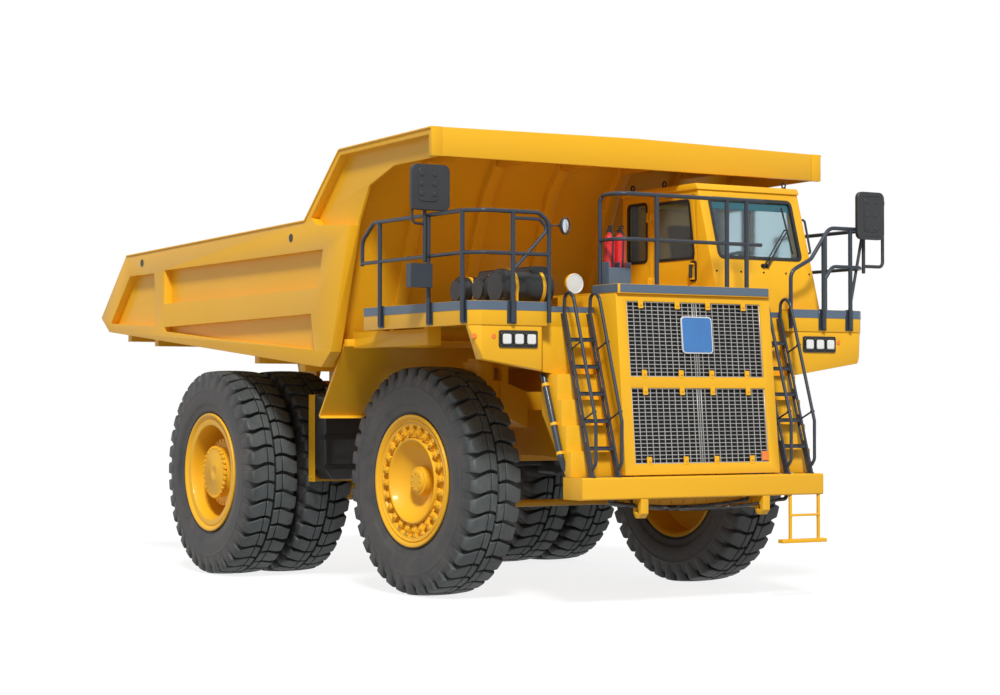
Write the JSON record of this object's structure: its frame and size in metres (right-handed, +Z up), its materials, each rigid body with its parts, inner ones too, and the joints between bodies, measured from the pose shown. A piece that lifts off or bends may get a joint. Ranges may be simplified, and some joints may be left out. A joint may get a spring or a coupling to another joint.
{
  "type": "mining dump truck",
  "caption": "Rigid mining dump truck with canopied dump body, side cab, deck rails and ladders, steered front wheels and twin rear wheels.",
  "frame": {"origin": "on the ground, midway between the tail of the dump body and the front of the bumper, on the truck's centre line", "axes": "+X forward, +Y to the truck's left, +Z up"},
  "size_m": [10.22, 5.6642, 4.931],
  "materials": {
    "yellow_paint": "satin",
    "slate_paint": "satin",
    "dark_steel": "satin",
    "tyre_rubber": "matt",
    "grille_wire": "satin",
    "cab_glass": "gloss",
    "red_paint": "gloss",
    "seat_cover": "matt",
    "bright_rod": "polished",
    "mirror_head": "matt"
  },
  "bodies": {
    "chassis": {"frame": "yellow_paint", "bumper": "yellow_paint", "hood": "yellow_paint", "grilles": "grille_wire", "power_unit": "yellow_paint", "transmission": "yellow_paint", "deck_right": "yellow_paint", "deck_left": "yellow_paint", "deck_centre": "yellow_paint", "lamp_housings": "yellow_paint", "step_panels": "yellow_paint", "ladder_right": "slate_paint", "ladder_left": "slate_paint", "hanging_step": "yellow_paint", "railing_right": "slate_paint", "railing_centre": "slate_paint", "railing_left": "slate_paint", "cab_shell": "yellow_paint", "cab_roof": "yellow_paint", "cab_glass": "cab_glass", "driver_seat": "seat_cover", "air_cleaners": "dark_steel", "extinguishers": "red_paint", "mirror_right": "mirror_head", "mirror_left": "mirror_head", "fuel_tank": "dark_steel", "hydraulic_tank": "dark_steel", "mudguards": "yellow_paint", "front_struts": "yellow_paint", "rear_axle": "yellow_paint", "rear_struts": "yellow_paint"},
    "dump_body": {"body_floor": "yellow_paint", "body_side_right": "yellow_paint", "body_side_left": "yellow_paint", "body_front_wall": "yellow_paint", "body_canopy": "yellow_paint"},
    "door": {"cab_door": "yellow_paint", "door_glass": "cab_glass"},
    "hoist_barrel_right": {"hoist_barrel_right": "yellow_paint"},
    "hoist_rod_right": {"hoist_rod_right": "bright_rod"},
    "hoist_barrel_left": {"hoist_barrel_left": "yellow_paint"},
    "hoist_rod_left": {"hoist_rod_left": "bright_rod"},
    "knuckle_right": {"knuckle_right": "yellow_paint"},
    "knuckle_left": {"knuckle_left": "yellow_paint"},
    "tie_rod": {"tie_rod": "yellow_paint"},
    "wheel_front_right": {"tyre_front_right": "tyre_rubber", "rim_front_right": "yellow_paint"},
    "wheel_front_left": {"tyre_front_left": "tyre_rubber", "rim_front_left": "yellow_paint"},
    "wheels_rear_right": {"tyres_rear_right": "tyre_rubber", "rims_rear_right": "yellow_paint"},
    "wheels_rear_left": {"tyres_rear_left": "tyre_rubber", "rims_rear_left": "yellow_paint"}
  },
  "joints": [
    {"name": "steer_right", "type": "hinge", "parent": "chassis", "child": "knuckle_right", "pos_m": [2.5, -1.18, 1.24], "axis": [0, 0, 1], "range_deg": [-33.4, 26.6]},
    {"name": "steer_left", "type": "hinge", "parent": "chassis", "child": "knuckle_left", "pos_m": [2.5, 1.18, 1.24], "axis": [0, 0, 1], "range_deg": [-33.4, 26.6]},
    {"name": "tie_rod_swing", "type": "hinge", "parent": "knuckle_right", "child": "tie_rod", "pos_m": [1.98091, -1.21084, 0.935], "axis": [0, 0, 1], "range_deg": [-26.6, 33.4]},
    {"name": "wheel_front_right_spin", "type": "hinge", "parent": "knuckle_right", "child": "wheel_front_right", "pos_m": [2.53517, -1.77196, 1.23676], "axis": [-0.0593, 0.9982, 0], "continuous": true},
    {"name": "wheel_front_left_spin", "type": "hinge", "parent": "knuckle_left", "child": "wheel_front_left", "pos_m": [2.46483, 1.77196, 1.23676], "axis": [-0.0593, 0.9982, 0], "continuous": true},
    {"name": "wheels_rear_right_spin", "type": "hinge", "parent": "chassis", "child": "wheels_rear_right", "pos_m": [-1.45, -1.958, 1.23676], "axis": [0, 1, 0], "continuous": true},
    {"name": "wheels_rear_left_spin", "type": "hinge", "parent": "chassis", "child": "wheels_rear_left", "pos_m": [-1.45, 1.958, 1.23676], "axis": [0, 1, 0], "continuous": true},
    {"name": "body_tip", "type": "hinge", "parent": "chassis", "child": "dump_body", "pos_m": [-2.45, 0, 2.15], "axis": [0, -1, 0], "range_deg": [0, 45]},
    {"name": "cab_door_swing", "type": "hinge", "parent": "chassis", "child": "door", "pos_m": [3.194, 0.652, 3.7], "axis": [0, 0, -1], "range_deg": [0, 100]},
    {"name": "hoist_right_swing", "type": "hinge", "parent": "chassis", "child": "hoist_barrel_right", "pos_m": [-1, -0.96, 1], "axis": [0, -1, 0], "range_deg": [0, 43.38]},
    {"name": "hoist_right_stroke", "type": "slide", "parent": "hoist_barrel_right", "child": "hoist_rod_right", "axis": [0.8354, 0, 0.5496], "range_m": [0, 1.4145]},
    {"name": "hoist_left_swing", "type": "hinge", "parent": "chassis", "child": "hoist_barrel_left", "pos_m": [-1, 0.96, 1], "axis": [0, -1, 0], "range_deg": [0, 43.38]},
    {"name": "hoist_left_stroke", "type": "slide", "parent": "hoist_barrel_left", "child": "hoist_rod_left", "axis": [0.8354, 0, 0.5496], "range_m": [0, 1.4145]}
  ],
  "couplings": [
    {"joint": "steer_left", "follows": "steer_right", "ratio": 1},
    {"joint": "tie_rod_swing", "follows": "steer_right", "ratio": -1},
    {"joint": "hoist_right_swing", "follows": "body_tip", "ratio": 0.96368},
    {"joint": "hoist_right_stroke", "follows": "body_tip", "m_per_rad": 1.8004},
    {"joint": "hoist_left_swing", "follows": "body_tip", "ratio": 0.96368},
    {"joint": "hoist_left_stroke", "follows": "body_tip", "m_per_rad": 1.8004}
  ]
}
